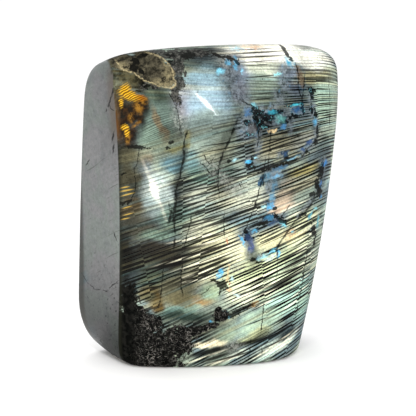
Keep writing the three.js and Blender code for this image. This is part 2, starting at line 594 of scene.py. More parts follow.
# The flash's light tone by area, painted in this order: colour and spot. It holds painted light too:
# the haze round both glints is partly a painted glow, and the near-white upper right corner is partly a
# painted reflection.
TINTS_AND_PAINTED_SHEEN = (
    ("7e948a", -31, 113, 9, 11), ("5d7468", -32, 121, 5, 3), ("9a9ba6", -21, 117, 5, 7, 10),
    # Pale blue haze round the long glint: partly flash, partly a painted glow of the glint.
    ("8fb0bb", -12, 127, 7, 4.5), ("8aa3b1", -11, 118, 10, 8, -30), ("9bb0ac", -14, 109, 9, 5, 20),
    # The third row on the next line, near white at the upper right corner, is partly cream flash and
    # partly a painted reflection of the softbox.
    ("fffdf2", 20, 136.4, 20, 5), ("c6ccb8", 14, 130.5, 12, 2.5), ("f6f7ea", 38, 134, 12, 4.6, -8),
    ("7f8a99", 4, 127, 5, 8, 15), ("8b8d9d", 1.5, 121, 4, 4), ("7a897c", 15, 121.5, 9, 6),
    ("6f7b8a", 27.5, 125, 4.5, 7, 10), ("b1ad86", 38, 126, 10, 3), ("98b09d", 42, 116, 8, 8),
    ("6d7c80", 33, 113, 5, 6), ("5c6467", 11, 107.5, 6, 4), ("8c9aa0", 4, 106, 5, 5, 20),
    ("a8bcb0", -14, 101, 9, 5, 10), ("8ea797", -33, 103, 6, 5),
    ("8f846a", -30.6, 108.6, 1.4, 7, 21), ("a6a67c", -20.2, 102.5, 1.6, 4),
    ("9c9d6e", -24, 99, 5, 1.6, 8), ("6a909b", -25.5, 91.5, 5, 4, 10), ("7ea3a6", -17, 92, 5, 4.5),
    ("789b90", -11, 87, 9, 4.5, 10), ("9aa18c", -9, 96, 7, 4, 10), ("8e8876", -36.5, 94, 3, 3),
    ("7f8d90", -37.5, 88, 3, 5), ("4b4b3d", -43.5, 95, 4.5, 6), ("64614c", -43, 85, 4.5, 6),
    # The first two rows on the next line are partly flash and partly a painted glow round the short
    # glint.
    ("c6d6d2", -33, 78, 6, 9), ("b2c8c8", -31, 73, 8, 4), ("8b7d5e", -42, 72, 5, 5),
    ("a4aca0", -14, 77, 8, 5, 10), ("c3c5ab", -3, 78, 8, 6, 15), ("a9b3a4", 5, 82, 8, 4, 10),
    ("c8cdb9", 10, 75, 8, 5, 12), ("a4a287", 20, 97, 12, 6, 5), ("91958a", 33, 100, 8, 5, 5),
    ("9a9280", 24, 78, 6, 5, 60), ("b3a48f", 22, 74.4, 5, 3.4, 12), ("cbb49a", 21.4, 71, 6, 2, 14),
    ("a49c68", 32, 86.5, 8, 2.4, 10), ("aaa78c", 32, 81, 8, 2.6, 10),
    ("d8dcb0", 33, 64, 8, 4.5, 15), ("deb98a", 24.5, 59, 3.4, 2, 30),
    ("e2d49a", 29, 57, 5, 2.4, 25), ("d0cea6", 17, 57, 8, 4, 15), ("d4dcb6", 31, 53, 7, 4, 18),
    ("6b6b5d", -40, 64, 7, 6), ("90af9f", -32, 61, 6, 2.4, 12), ("8ca899", -25, 68, 6, 6),
    ("c0c4ae", -14, 64, 8, 3.4, 12), ("c9c8a6", -8, 57, 12, 6, 16), ("cecda7", -8, 50, 12, 6, 16),
    ("bcbd9f", -14, 43, 11, 5, 16), ("dfe0bd", 2, 50, 6, 8, 16), ("39362d", -33, 53, 11, 4.5, 8),
    ("33302a", -26, 48.5, 6, 4), ("26261f", -44.5, 50, 3, 12), ("5b665b", -36, 47, 5, 3.4, 10),
    ("5c6a58", -33, 41, 6, 3.6, 10), ("88886e", -24, 36, 8, 6, 5), ("857f5e", -19, 31.5, 9, 3.6),
    ("967f58", -12.5, 31, 4, 3), ("6c5a34", -31.8, 31, 2.6, 6, 8), ("5f5232", -34.4, 35, 4, 4),
    ("51513c", -35, 33, 2.5, 2), ("89a696", -22, 26.8, 9, 1.5, 8), ("4a6056", -21, 24, 11, 2.4),
    ("8ea389", -9, 35, 4, 4), ("c8d4aa", 12, 44, 18, 6, 18), ("b2c4a8", 28, 42, 9, 6, 20),
    ("e0e6c6", 7, 34, 9, 5, 20), ("cfe0be", 20, 36, 10, 5, 22), ("a0c4b4", 33, 28, 7, 10),
    ("b0d6c6", 22, 26, 10, 5, 22), ("a2baa6", 12, 20, 9, 6, 20), ("8fa18c", -2, 16, 5, 4, 20),
    ("b4bb92", 10, 13.5, 8, 2.4, 22), ("f6ebc8", -9, 11.2, 6.4, 1.6, 8),
    ("ecffee", 22, 8, 10, 3.6, 24), ("c9d4c6", 3, 5, 6, 1.6, 20), ("37474c", 26.5, 12.5, 5, 2, 22),
)

# Smoky areas, where the light tone is darker: share of light left and spot.
SHADES = (
    (0.36, -44, 84, 5.5, 44), (0.5, -33, 110, 10, 15), (0.6, -25, 100, 8, 8),
    (0.2, -38, 126.5, 6, 3, -15), (0.28, -29, 121, 5, 4, -30), (0.3, -18, 133.6, 10, 4.5),
    (0.34, -5, 137.5, 8, 2.4), (0.5, -2, 131, 6, 4), (0.45, -14, 106, 12, 5.5),
    (0.5, 3, 116, 6, 13, 12), (0.36, 14, 110, 9, 7), (0.45, 24, 117, 8, 7), (0.5, 34, 117, 6, 12),
    (0.5, 17, 101, 9, 4.5, 5), (0.5, -5, 98, 6, 8, 10), (0.36, -5.5, 83, 4.5, 6.5),
    (0.5, -22.5, 80, 3, 9), (0.6, -13, 90, 8, 3.5, 10), (0.55, -24, 66, 9, 8),
    (0.46, -37, 68, 8, 16), (0.4, -34, 48, 14, 9, 5), (0.42, -24, 38, 8, 10), (0.6, -16, 44, 6, 10),
    (0.34, 8.4, 50, 3.5, 5), (0.36, -20, 22.5, 15, 4), (0.34, -12, 17.5, 7, 4.5, 10),
    (0.5, 42, 84, 4, 14), (0.5, -24.6, 72, 1.5, 9, 3), (0.4, -22.4, 93, 1.6, 7, -8),
    (0.5, -3.2, 102, 1.8, 10, -23), (0.4, -42, 40, 4, 8), (0.6, -38, 109.6, 2.4, 4, 10),
    (0.5, -36.4, 115, 1.6, 7, -4), (0.3, 12, 12.4, 6, 1.8, 22), (0.5, 26.4, 13, 5, 1.8, 22),
    (0.35, -4, 8, 10, 1.8, 16), (0.4, 1.6, 9.8, 3, 3), (0.6, -9, 137, 8, 3, -12),
    (0.5, 33, 140.6, 20, 1.7, -6), (0.6, 10, 140.9, 16, 1.1), (0.55, -23.8, 80, 1.5, 12, 4),
    (0.45, -28, 51, 15, 4.4, 7), (0.72, 26, 96, 18, 12), (0.8, 24, 78, 12, 8),
    (0.75, -4, 106, 16, 10), (0.75, -8, 84, 16, 8), (0.8, -20, 32, 12, 7),
    (0.4, 24.6, 15.4, 4.4, 2, 22), (0.4, -37.8, 126, 3, 3, 20),
)

# Where the fine dark bands show strongly and where they fade: strength and spot.
BAND_ZONES = (
    (0.1, -32, 117, 10, 8), (0.15, -30, 106, 11, 8), (0.45, -30, 92, 10, 7),
    (0.06, -13, 118, 13, 11), (0.12, -14, 130, 9, 5), (0.3, -18, 104, 10, 6), (0.15, 5, 124, 7, 10),
    (0.6, 15, 122, 8, 7), (0.08, 14, 137, 17, 4.6), (0.14, 34, 136, 14, 5), (0.6, 40, 128, 8, 3),
    (0.5, 20, 131, 12, 2.4), (1, 42, 110, 9, 16), (0.25, -42, 90, 6, 20), (0.5, -32, 78, 7, 12),
    (0.6, 3, 80, 6, 5), (0.6, -36, 64, 9, 8), (1, -12, 54, 14, 10, 14), (1.15, 26, 36, 20, 18, 20),
    (1, 28, 66, 14, 8, 15), (0.2, -21, 31, 11, 7), (0.15, -9, 34, 5, 5), (0.2, 1, 17, 8, 6),
    (0.4, 12, 19, 9, 6, 20), (0.35, 23, 8.6, 9, 4, 24), (0.35, -8, 11, 7, 1.8, 8),
    (0.2, 1, 9.6, 3.6, 3), (0.15, 6.8, 54, 3.8, 6), (1, 17, 58, 6, 4, 15), (1, 30, 86, 14, 9, 10),
    (1, -6, 84, 9, 8, 10), (0.3, 22, 72, 5, 5),
)

# Where thin close bands show.
THIN_ZONES = (
    (-30, 106.6, 7.6, 7.6), (-30, 97, 7, 5, 10),
)

# Single bold dark bands.
BOLD = {
    0.25: ((5, 132, 18, 132.4),),
    0.3: (
        (31, 129.3, 47, 128), (32, 125.3, 47, 124), (34, 121.4, 48, 120), (36, 112.4, 48, 111.4),
        (37, 109.8, 48, 108.8), (37, 107.4, 48, 106.6), (3, 138.2, 24, 138.5),
        (4, 133.4, 20, 133.8), (6, 127.2, 20, 128), (5, 120.2, 24, 121.2), (6, 118, 20, 118.8),
        (-14, 99, 9, 102), (-13, 96.5, 8, 100), (-4, 94.6, 8, 97), (-27, 84, -16, 87.4),
        (-26, 82.5, -14, 85), (-24, 39.4, -8, 43.6), (6, 19, 16, 21.6),
    ),
    0.35: (
        (20, 103.5, 35, 105.2), (11, 100.2, 34, 102.6), (15, 96.6, 31, 99.3), (10, 92.2, 20, 93),
        (-14, 86.5, 4, 89), (-22, 86.5, -12, 89), (-3, 84.6, 10, 86.8), (-22, 79.5, -7, 82.3),
        (-24, 73, -8, 77), (-27, 42, -6, 47), (16, 17.2, 35, 22.6),
    ),
    0.4: (
        (10.5, 102.3, 35, 104.6), (15, 94.6, 31, 97), (9, 81.6, 16, 83.6), (5, 75.6, 17, 78.6),
        (20, 79, 37, 81.6), (2, 71.2, 30, 78.2), (0, 69.8, 15, 73), (-24, 76.4, -6, 80.2),
        (-26, 64, -5, 69.7), (-28, 62.4, -4, 68.3), (-24, 44.4, -4, 50), (-37, 36.6, -28, 38.4),
        (11, 55, 22, 59), (10, 44.4, 30, 50), (0, 25.6, 12, 29.6), (16, 21, 36, 26.8),
    ),
    0.45: (
        (16, 82.6, 40, 87.6), (-38, 38.4, -30, 40), (0, 63.6, 18, 69.4), (10, 56.6, 24, 62),
        (20, 46.2, 38, 52.6), (4, 36.6, 20, 42), (17, 25.4, 37, 30.6),
    ),
    0.5: (
        (3, 136.9, 25, 137.3), (3, 135.3, 25, 135.7), (-24, 68.6, -7, 73), (-17, 63, 4, 68.6),
        (-26, 47.6, -8, 52.2), (8, 61, 18, 64.6), (8, 37.4, 38, 43.6), (2, 33, 16, 36.4),
        (10, 27.6, 38, 34.6), (28, 58.8, 42, 63.4), (-10, 2.4, 10, 7), (12, 6.4, 26, 11),
    ),
    0.6: (
        (-20, 57, -4, 61.4), (-26, 50, -6, 55.4), (-36, 45.4, -18, 49), (24, 43, 41, 47.4),
        (6, 31, 38, 38.6), (27, 62.4, 43, 68), (28, 52.2, 42, 57), (8, 10, 22, 14),
    ),
    0.7: ((4, 62.4, 18, 67.2),),
    0.8: ((-30, 52.5, -12, 56.2),),
    0.9: ((27, 45.6, 41, 50.6), (14, 34.6, 36, 41), (-4, 8.6, 14, 12.4), (-13, 3, 0, 6.8)),
    1: ((11, 87.2, 29, 91.4),),
    1.3: ((-17, 5.8, 0, 10.2),),
}

# Bright bands between the dark ones.
BRIGHT = {
    0.35: (
        (12, 27, 20, 30.6), (30, 54.2, 42, 58.6), (28, 44.2, 41, 48.6), (22, 37, 39, 42.6),
        (26, 33.4, 38, 37.8), (24, 24.4, 37, 29.4),
    ),
    0.4: (
        (-22, 45.8, -2, 52), (6, 38.6, 34, 46), (22, 69.4, 35, 73.2), (25, 66.4, 37, 70.4),
        (28, 60.6, 42, 66), (28, 57, 41, 61.6), (26, 47.8, 41, 53.2), (24, 40.2, 40, 45.8),
        (28, 29.2, 38, 33), (-17, 3.2, -2, 8.6), (22, 5.4, 31, 9.4),
    ),
    0.45: ((-20, 54.5, -4, 59),),
    0.5: (
        (-24, 58, -6, 61.4), (-26, 49, 2, 56.6), (-20, 42, -8, 45.4), (-20, 39.6, -9, 42),
        (4, 32.4, 22, 38), (2, 29, 30, 37), (14, 5.6, 30, 13), (10, 3.4, 20, 7.4),
    ),
    0.6: ((20, 6, 32, 12),),
    0.7: ((1, 139.2, 23, 139.4), (1, 137.2, 26, 137.6), (-9, 1.8, 3, 5.2)),
    0.8: ((3, 134.8, 22, 135.2),),
}

# Smoky blue-grey veins.
VEINS = (
    (-0.6, 131.4, 3.6, 2.6), (-1.4, 127.6, 4.8, 3.4), (0.6, 122.6, 4.4, 3.6, -20),
    (3, 118.6, 4, 2.8, -35), (6, 115, 3.6, 2, -35), (6.6, 110.2, 4, 3), (5.6, 105.6, 3.8, 3),
    (13, 112, 5.4, 3, -10), (20, 110.6, 4, 3.2), (28, 113, 3.6, 2), (23.4, 129.8, 3.8, 3.6),
    (22.8, 124.6, 3.2, 3.8, 8), (20.4, 119, 2.6, 4, 10), (17, 114.8, 2.6, 2), (35.4, 119, 1.6, 3),
    (36.4, 112, 1.6, 4), (37.8, 104.6, 1.4, 5.4), (34.4, 97.4, 3.4, 1.6, 40), (31, 94, 1.6, 2.2),
    (24.6, 108, 1.4, 4), (9.6, 101, 1.4, 5.4), (21.4, 94.4, 2.4, 1.8), (5.8, 91.6, 2, 2.4),
    (43.4, 89.4, 2.2, 1.8), (17, 86, 5.4, 2.4, 14), (14.6, 80, 2.2, 4, -8), (15.4, 73, 2.4, 2.4),
    (17.4, 66.4, 4.4, 1.8, 6), (21.4, 64.6, 2, 1.8, -40), (4.8, 59, 3, 3.8, 20),
    (7.2, 53.4, 2, 3.6), (42, 77, 2.6, 3.4, 30), (43.6, 84, 1.4, 3.6), (36.6, 72.4, 3.4, 2, 50),
    (31.8, 68, 4, 1.3, 50), (11, 49.4, 3, 1.2, 20),
)

# Tangles of black and teal specks within the veins.
TANGLES = (
    (10.4, 112.8, 3.4, 1.8, -25), (13.8, 110.4, 3.6, 2, -8), (8.8, 108, 1.1, 4.4, 4),
    (5, 108.6, 2.2, 1.2, -20), (10.6, 108.4, 2.2, 1.4), (6.4, 104, 1.8, 0.9), (12.4, 106.8, 2, 1),
    (18.4, 112.4, 3, 1.6, 8), (21.4, 109.2, 2.2, 2), (26, 115, 3.4, 0.7, 10),
    (31.2, 113.4, 0.9, 2.4, 10), (27, 110.4, 3.4, 0.8, 5), (35.8, 120.6, 1.2, 1.6),
    (35.6, 112.8, 1.2, 2.2), (22.6, 94.2, 1.6, 2), (5.6, 91, 1.8, 1.8), (12, 84, 1.4, 3, -10),
    (20.6, 66, 3, 1.4, -30), (14.6, 67.4, 3, 1.2, 8), (5.4, 59.6, 1.8, 3, 15),
    (42.2, 86, 1.4, 3, -10), (41, 77.4, 2, 2.4, 20),
)

# Clouds of pale grains.
FROST = (
    (-10, 90, 4.4, 3.4, -40), (-5.6, 85.4, 4, 2.4, -40), (0.4, 80, 4, 3, -30),
    (-23.4, 111, 2.6, 5, 8), (-2, 133.4, 3, 1.6), (1.4, 45.4, 2.4, 2), (1, 9.4, 3.6, 2.6),
)

# Dark speckled rock along the top.
ROCK = (
    (-28, 137.2, 4.6, 1.8, -8), (-20.6, 137, 5.6, 2.2), (-13.4, 137.4, 6, 1.6),
    (-22.4, 131.4, 3.4, 5, -8), (-22.6, 126, 2.6, 4, 10), (-24.4, 120.6, 2, 4.6, 14),
    (-37.2, 126, 2, 3.4, 12), (-33, 124.4, 3, 0.9, -14),
)

# Glints of blue and other strong colour: colour and spot.
GLOWS = (
    ("4fa4cc", -1, 133.4, 1, 1), ("7cc4dc", -5, 130.2, 1.5, 1.1),
    ("5ab0d8", 2.6, 133.4, 0.8, 2.4, -16), ("86c2dc", 4.4, 130, 0.6, 1.4),
    ("9ed4e6", 6, 138.8, 2.6, 0.6), ("f0c8a6", 13.4, 139.2, 4.4, 0.6),
    ("1090b4", 26.8, 133, 1.3, 1.8, 28), ("148eb0", 30.4, 131.6, 1.8, 0.9, -35),
    ("bfeaf0", 28, 134.4, 0.6, 1.2, 40), ("8edce4", 20.4, 128, 1.5, 0.7, 10),
    ("6a5c4a", 31.2, 127, 1.5, 4, 6), ("74bccc", 8.4, 116, 0.6, 1.1, 35),
    ("40668e", 5.4, 113, 1.4, 1.6, -30), ("2f7f92", 16.4, 112.6, 2, 0.7, 5),
    ("2b5076", 28.4, 113, 2.2, 1.3, 5), ("46b0c4", 28.2, 115.2, 2.2, 0.6, 5),
    ("5f9a98", 20, 109.6, 2, 1.6), ("4a84b4", 21.4, 106.4, 1.2, 1, 20),
    ("cbb488", 16.6, 104.6, 2, 0.7, 4), ("4a4a4c", 7, 106.2, 1.8, 2.2),
    ("5aa4cc", 37.4, 107.4, 0.9, 1.4), ("2d466e", 34.6, 98.6, 1.7, 1, 30),
    ("324c72", 31.2, 96, 1, 0.9, 30), ("4fb0e4", 5.4, 91.8, 1.2, 0.6, 10),
    ("8ab4bc", -0.6, 92.8, 1.3, 0.4, 10), ("92cce0", 8.6, 93.6, 0.6, 0.4),
    ("355072", 22.4, 94.6, 1.1, 1, 20), ("74a6c0", 26, 92.2, 3, 0.5, 12),
    ("3d6a8c", 20, 88.2, 3, 0.8, 12), ("3f6f88", 14, 85.2, 1.8, 1.4, 20),
    ("5a94b8", 18.4, 84.8, 2, 0.9, 12), ("2f5674", 11.2, 83, 0.8, 2, -10),
    ("4c7894", 17.6, 80, 1.2, 2.2, -8), ("6494b0", 16.6, 76, 1.2, 1.5),
    ("3aa6dc", 16, 72, 1.5, 1.3), ("b0eef4", 13, 72, 1.1, 0.6), ("2f6ea8", 44.6, 88, 1.5, 1.2),
    ("3f689c", 42.4, 79.6, 0.6, 1.3), ("4b88b8", 43, 73, 0.7, 0.8),
    ("336a8c", 15.6, 67, 2, 1.2, 10), ("24405e", 17.6, 64.8, 2.2, 1, 10),
    ("7cd2e4", 22.4, 63.6, 0.9, 1.9, 40), ("5aaabe", 36.6, 65.8, 0.7, 2, -40),
    ("84ccd4", 39.6, 68.6, 1.2, 0.6), ("84dcec", 27, 59.8, 0.8, 0.6, 30),
    ("243654", 6.4, 58.2, 2, 3, 15), ("44a0ce", 3.4, 57.4, 0.5, 2.4, 25),
    ("4c94b8", 9, 61.6, 1.4, 0.6, 15), ("3c4c7c", 7.6, 54.4, 1, 2),
    ("70c4e2", 17.4, 51.8, 2, 0.7, 25), ("42b6ea", 20.3, 50.6, 0.8, 1.5),
    ("92c8ce", 13, 49.4, 2.2, 0.8, 20), ("cfe2de", 17, 49, 2.6, 0.8, 25),
    ("4aaede", -5.8, 43.4, 1, 2, -30), ("aaccd2", -0.4, 41, 0.7, 1),
    ("c2dadc", 1.8, 33, 1.2, 0.7, -25), ("50b8e2", -3.6, 25.8, 1.1, 0.5, -15),
    ("5ac6e4", -1.4, 23.2, 1, 0.6, 10), ("418fb6", -9.4, 21.6, 0.6, 0.5, 30),
    ("5aa6b2", 42, 62, 0.7, 3), ("9c7a4c", 9.4, 28.2, 2.4, 1, 22),
    ("d8c090", -2.6, 43, 0.5, 4.2, -6), ("b87a5a", -3.6, 57.4, 0.4, 1),
    ("8c4430", -1.7, 38.4, 0.4, 0.8, -20), ("d0a070", -1.6, 35.8, 1.2, 0.6),
    ("b6ae8c", -21.5, 45, 0.5, 0.4),
)

# Black blots.
BLOTS = (
    (37, 120.4, 1, 1.6), (36.2, 117.6, 0.8, 1.2), (37.6, 111, 0.8, 2), (38.6, 103.4, 0.8, 2.6, -5),
    (37.8, 98.6, 0.9, 1.2), (33, 94.4, 1.2, 0.8), (22.8, 92, 0.4, 1.2, -15), (-3, 92.6, 1.3, 0.9),
    (7.6, 89.4, 0.9, 1.2), (5.6, 90.4, 0.6, 0.8), (7.3, 93.2, 0.5, 1.2, -15), (6.6, 89, 1.4, 0.9),
    (2.2, 82.4, 0.4, 0.9), (15.4, 96.4, 0.5, 0.5), (12.4, 88, 2.8, 0.6, 14), (19, 89.7, 5, 0.7, 14),
    (26, 91.3, 3.4, 0.5, 13), (39.4, 79.6, 2, 2.6, -20), (41.4, 75.4, 2.2, 2.4),
    (39.4, 58.4, 1.6, 2.8, 10), (43, 85, 0.9, 4, -5), (41, 83, 1.6, 1), (37.6, 75.6, 2, 0.8, 10),
    (18, 70.6, 1.1, 0.9), (22, 65.2, 2.2, 1.2, -35), (18.6, 67.6, 1.1, 0.9),
    (13.6, 64.8, 4, 0.7, 12), (32, 66.6, 2.4, 0.7, 15), (40.4, 53.4, 1, 3.2, -4),
    (4.6, 61.4, 0.9, 1.8), (4.6, 57.8, 0.7, 0.7), (8.2, 58.4, 0.5, 0.5), (8.4, 48.6, 1.5, 0.9),
    (11.4, 47.2, 1.4, 0.6), (-5.2, 38.2, 3, 1.8, -35), (-4.2, 38.4, 1.8, 1.6),
    (-7.8, 40, 1.8, 0.7, -15), (-6, 34.8, 0.5, 1.4), (-3.6, 34.6, 1.6, 0.3, 10),
    (-44, 74.6, 2.4, 0.9, 20), (-45, 86.8, 1.2, 0.5, 15), (-40, 98.6, 5, 0.9, -4),
    (-26.8, 100.8, 1.1, 0.6), (-27.8, 98.4, 0.9, 0.7, 35), (-39, 122.2, 1.6, 0.4, -8),
    (-38, 126.4, 1.5, 2, 20), (-36, 124.4, 1.8, 0.9, -10), (-40.4, 111, 0.9, 1),
    (1.4, 25, 3.4, 1.4, 25), (6.4, 27.4, 3, 1.1, 25), (-17, 136.6, 3, 1.4), (-24, 137, 1.8, 0.7),
    (-25.4, 134, 1.2, 0.5), (-4.6, 136.4, 3.2, 0.8, -20), (0, 135.2, 3.4, 1.2, -20),
    (2.8, 133.9, 1.8, 1.1, -30), (27, 138.2, 0.8, 1.6), (27.2, 136, 1, 1.3),
    (28.4, 134.2, 1, 0.8, -40),
)

# Cracks.
CRACKS = {
    0.17: ((20.4, 50, 20.2, 45, 20, 38),),
    0.19: ((10, 26.8, 13, 28.6, 17, 30), (46.4, 126, 46.8, 116, 46.4, 102)),
    0.22: (
        (-29.4, 46, -29.8, 38, -30.2, 32, -31.8, 25.8),
        (-39, 97, -39.6, 92, -41, 89, -40.2, 84, -40.4, 80, -42.8, 74),
        (-15, 92.4, -12.6, 89.8, -10.6, 87), (-13.6, 96, -12.4, 93, -11, 91.6, -9.6, 94),
        (15.6, 106, 15, 99, 14.7, 94, 14.2, 88), (21.2, 52, 18, 52.6, 14.6, 51),
        (8.8, 12, 8.4, 8, 8.2, 4), (14, 8, 14.2, 4.6), (-9.8, 37, -12, 35, -14, 34),
        (-4.6, 70, -4.8, 66, -4.4, 60),
    ),
    0.26: (
        (-18.4, 69, -18.6, 66, -19.8, 62, -20.8, 56),
        (-27.2, 121.4, -25.4, 118, -24, 114, -23.4, 109, -22.8, 104), (-7.2, 91, -7.8, 85, -7, 78),
        (9.4, 107, 10, 102, 9.2, 98), (13, 92, 12, 85, 10.8, 81), (25, 71.6, 23.6, 69.4, 21, 66.6),
    ),
    0.3: (
        (-21.6, 48, -22.2, 43, -22, 38, -21.4, 34), (10.8, 81, 9.8, 76, 7.6, 70, 5.6, 64.6, 4, 61),
        (33.4, 127, 32.2, 121, 31, 117), (14.2, 29.4, 13.8, 22, 13.4, 15),
    ),
    0.32: ((36, 49, 34.8, 42, 34, 34, 32.4, 26, 31.2, 20),),
    0.34: (
        (-25.2, 66, -24.8, 61, -25.2, 54), (3, 117.8, 6, 116.2, 9.4, 114.6, 9.6, 106),
        (30, 132, 30.4, 127, 29.6, 122, 31, 117, 30.6, 113),
    ),
    0.38: ((-20.3, 105.5, -21.4, 102.6, -21.8, 98), (39.6, 104, 38.2, 98.6, 34, 96.4, 30.6, 92.4)),
    0.45: ((-22.5, 90, -23.6, 84, -24.8, 80),),
    0.5: ((27.4, 135.6, 29, 133.6), (28.4, 64.3, 26, 61.7, 21.6, 56, 19.7, 53.6, 20.2, 49)),
    0.52: ((-21.8, 98, -21.4, 95, -22.5, 90), (0.6, 110, -2.4, 103, -5.4, 96.6, -7.2, 91)),
    0.6: ((-27.2, 74, -26.4, 70, -27.4, 66), (-1, 23.4, 4, 26, 9.4, 28.6)),
    0.68: ((-24.8, 80, -24.6, 75.5, -25.3, 71, -25.2, 66),),
    0.7: ((39, 75.6, 37.5, 71.8, 33.2, 67.4, 28.4, 64.3),),
    0.8: ((27.2, 139.8, 27, 137.4, 27.4, 135),),
}

# The rough brown crust at the upper left.
CRUST = (
    (-31.5, 130, 6.6, 5.4, -35), (-28, 128.8, 3.8, 5, 4), (-30.4, 133.4, 4.4, 3, -40),
    (-36, 132.6, 6.4, 4.4, -10), (-43.4, 134, 4.6, 3.6), (-34, 136, 5, 2.4),
)

# The crust's cream edge.
CRUST_EDGE = {
    0.26: ((-37.1, 127, -35.2, 126.2, -32.8, 125.5, -30.9, 124.4, -28.4, 124, -26.4, 123.5),),
    0.3: ((-46, 134.2, -45.1, 131.7, -42.4, 130.1, -40.5, 130, -38.6, 128.3, -37.1, 127),),
    0.34: ((-25.2, 132, -26.6, 134.2, -27.9, 135.8, -29.9, 136.8, -32.8, 137.6),),
    0.4: ((-26.4, 123.5, -24.7, 124.4, -24.2, 125.8, -24.9, 127.3, -24.4, 129.6, -25.2, 132),),
}

# Where the crust is beige.
CRUST_LIGHTS = (
    (-26.6, 127.4, 2, 4, 8), (-29.6, 125.6, 3.4, 1.4, -12), (-26.8, 133.6, 1.4, 1.4),
    (-44, 132, 2, 2, -30),
)

# Where the crust is black.
CRUST_DARKS = (
    (-40, 131.8, 1.6, 1.9, 25), (-39, 134.4, 1.5, 1.6, 30), (-35.8, 136.4, 2.8, 0.8, 20),
    (-37.4, 130.2, 1, 1.6, 30),
)

# Striped gold flash under the crust.
GOLD = (
    (-44.2, 122.4, 1.9, 2.8, -20), (-42.6, 120.6, 3.8, 1.9, -24), (-39, 119.6, 2.6, 1.3, -6),
    (-45.6, 117.4, 0.7, 2), (-44.2, 106.8, 1.4, 1.3), (-43.6, 104.6, 0.9, 1.6),
)

# Amber patches round the gold.
AMBER = (
    (-39.2, 115.6, 1.5, 2.2, 10), (-37.4, 118.6, 1.6, 1.6), (-42, 111, 0.9, 1.8),
    (-40, 108.4, 1.6, 0.6, 40), (-43.6, 102.4, 1.2, 2),
)

# The dark brown that the gold and the amber lie in.
GOLD_BROWN = (
    (-43.4, 113.4, 5, 6.6), (-45.4, 114, 3, 5.4), (-39.4, 115.6, 4.6, 5), (-38.6, 110.4, 2.6, 2),
    (-42.8, 104, 3.2, 4), (-44.8, 110.4, 2.8, 3.6), (-46, 107, 2.2, 7),
)

# The olive stone between the crust and the brown.
OLIVE = (
    (-45, 128, 4.4, 4.4), (-41.4, 126.4, 3, 3), (-48.6, 128, 3, 6.6), (-47.6, 120, 1.6, 5),
    (-46, 121.6, 2.6, 5), (-45.8, 116.6, 1.8, 4), (-48, 134, 3, 4),
)

# Thin gold streaks lower on the left.
LOW_GOLD = {
    0.2: ((-45, 71.8, -42.2, 72.8), (-44.6, 68.8, -41.6, 69.8)),
    0.22: ((-45.6, 66.8, -43, 67.6),),
    0.26: ((-45.8, 80.6, -43.2, 81.4), (-45.4, 77.2, -41.6, 78.6)),
    0.3: ((-46, 79, -42, 80.2),),
}

# Black rock with pale needles at the lower left.
MATRIX = (
    (-33, 7, 14, 12), (-24, 12.6, 8, 7.6), (-43, 18, 6.4, 12), (-46, 12, 4.6, 18), (-40, 4, 9, 7),
    (-38, 16, 8, 8), (-42.6, 31, 3.8, 8.4, 8), (-38.8, 24.6, 4.6, 5, 25), (-36, 21, 7, 4.6, -15),
    (-17, 17, 4, 2.6, 15), (-10.6, 19, 5, 1.6, 20), (-5, 23.6, 3.8, 2.8, 15),
    (-6.4, 26.6, 1.6, 1.6),
)

# Cracks on the left side, as y and z.
SIDE_CRACKS = {
    0.22: ((20, 38, 16, 34.6, 10, 32.6), (10, 32.6, 2, 33.6, -4.6, 39)),
    0.25: ((-4.6, 117, -5.6, 114.8, -7, 114),),
    0.3: ((11.6, 90.4, 14, 88), (-3.6, 60.6, -5, 57.6), (3, 33, 0.6, 34.4)),
    0.4: ((-8, 124.6, -6.6, 120, -3.8, 114.4, -2.6, 113.4), (-6, 99, -5.2, 95.6)),
    0.45: ((-6.6, 104.6, -5.2, 101),),
}


# ----- The stone's material -----

ROUGHNESS = 0.34
RAW_ROUGHNESS = 0.3
FACE_COAT = 0.15
SIDE_COAT = 0.35
COAT_ROUGHNESS = 0.06
RELIEF_STRENGTH = 0.6

# The ridge between the left side and the show face: its x low down, its y where it stands
# farthest forward, the height of that, its bow, how far it has leaned out at which height, and
# the direction across it.
RIDGE_X = -46.2
RIDGE_Y = -7.5
RIDGE_FRONT = 105
RIDGE_BOW = 0.0005
RIDGE_LEAN = 2.2
RIDGE_LEANS_AT = 125
ACROSS_RIDGE = (0.62, -0.78)


class Places:
    """The point on the stone in millimetres: plain, shaken in three ways, and along the bands."""

    def __init__(self):
        self.plain = plain_place(Flow(new_node("ShaderNodeTexCoord").outputs["Object"]))
        self.ragged = ragged_place(self.plain)
        self.torn = torn_place(self.plain)
        self.loose = loose_place(self.plain)
        self.bands = band_place(self.plain)


@grouped
def plain_place(metres):
    return vector_maths("MULTIPLY", metres, (1 / MM,) * 3)


@grouped
def ragged_place(plain):
    return shaken(plain, 1.1, 0.35)


@grouped
def torn_place(plain):
    return shaken(plain, 1.7, 0.75)


@grouped
def loose_place(plain):
    return shaken(shaken(plain, 1.1, 0.35), 9, 1.6)


@grouped
def band_place(plain):
    """x as it is, and as z the height of the band that the point lies in."""
    x, y, z = split(plain)
    sway = (noise(plain, 0.03, 1) - 0.5) * 1.2
    return bundle(x, 0.0, band_height(x, y, z) + sway)


def layers(bands, along, across, which):
    """Noise stretched along the bands: cycles per millimetre along and across, and which noise."""
    return noise(mapped(bands, Location=(0, which, 0), Scale=(along, 1, across)), 1, 1)


# The bands and the colours of the flash.

@grouped
def band_strength(loose):
    """How strongly the fine dark bands show."""
    place = mapped(loose)
    strength = step(noise(place, 0.05, 2), 0.36, 0.54) * 0.5 + 0.5
    for value, *row in BAND_ZONES:
        strength = strength + (value - strength) * union(place, [row], 0.6)
    return strength


@grouped
def domains(bands):
    """A number for each of the tall blocks that the bands break between."""
    cells = new_node("ShaderNodeTexVoronoi")
    feed(cells.inputs["Vector"], mapped(bands, Scale=(0.045, 0, 0.003)))
    cells.inputs["Scale"].default_value = 1
    return split(Flow(cells.outputs["Color"]))[0]


